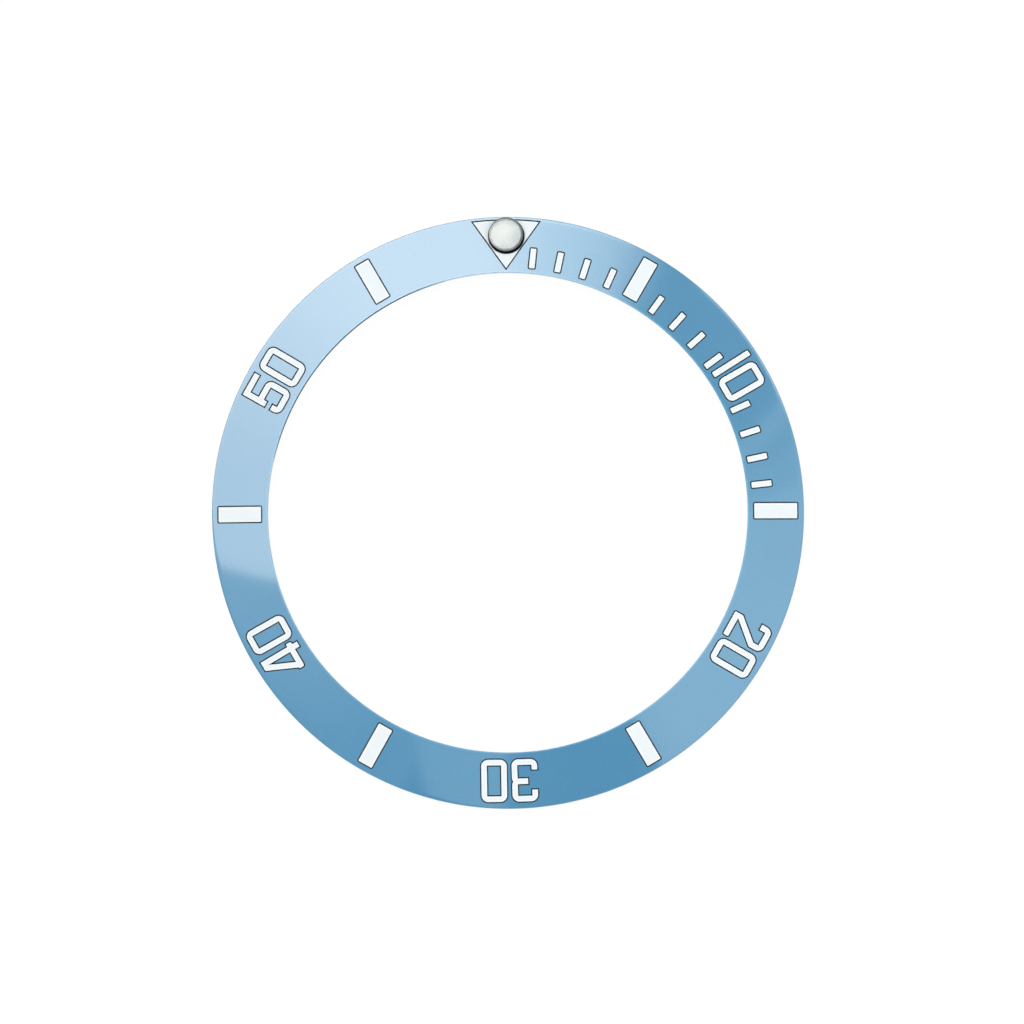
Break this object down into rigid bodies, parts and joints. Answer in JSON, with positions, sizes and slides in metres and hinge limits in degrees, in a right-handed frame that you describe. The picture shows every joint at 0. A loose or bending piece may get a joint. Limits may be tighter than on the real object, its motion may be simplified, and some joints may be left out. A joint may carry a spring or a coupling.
{
  "type": "watch bezel insert",
  "caption": "Sloped ceramic ring with engraved, filled minute marks and numerals and a luminous pip, which seats in a rotating watch bezel.",
  "frame": {"origin": "centre of the flat back face, on the axis of the ring", "axes": "+Z along the axis of the ring, out of the engraved face; +Y from the axis towards the triangle at twelve o'clock; +X towards fifteen minutes"},
  "size_m": [0.038, 0.038, 0.0018],
  "materials": {
    "ceramic_blue": "polished",
    "fill_white": "satin lacquer",
    "pip_metal": "turned and polished",
    "pip_lume": "matt luminous compound",
    "pip_lens": "polished"
  },
  "bodies": {
    "root": {"bezel_ring": "ceramic_blue", "triangle_inlay": "fill_white", "bar_inlay_05": "fill_white", "bar_inlay_15": "fill_white", "bar_inlay_25": "fill_white", "bar_inlay_35": "fill_white", "bar_inlay_45": "fill_white", "bar_inlay_55": "fill_white", "tick_inlay_01": "fill_white", "tick_inlay_02": "fill_white", "tick_inlay_03": "fill_white", "tick_inlay_04": "fill_white", "tick_inlay_06": "fill_white", "tick_inlay_07": "fill_white", "tick_inlay_08": "fill_white", "tick_inlay_09": "fill_white", "tick_inlay_11": "fill_white", "tick_inlay_12": "fill_white", "tick_inlay_13": "fill_white", "tick_inlay_14": "fill_white", "numeral_10_one": "fill_white", "numeral_10_zero": "fill_white", "numeral_20_two": "fill_white", "numeral_20_zero": "fill_white", "numeral_30_three": "fill_white", "numeral_30_zero": "fill_white", "numeral_40_four": "fill_white", "numeral_40_zero": "fill_white", "numeral_50_five": "fill_white", "numeral_50_zero": "fill_white", "pip_cup": "pip_metal", "pip_lume": "pip_lume", "pip_lens": "pip_lens"}
  },
  "joints": []
}
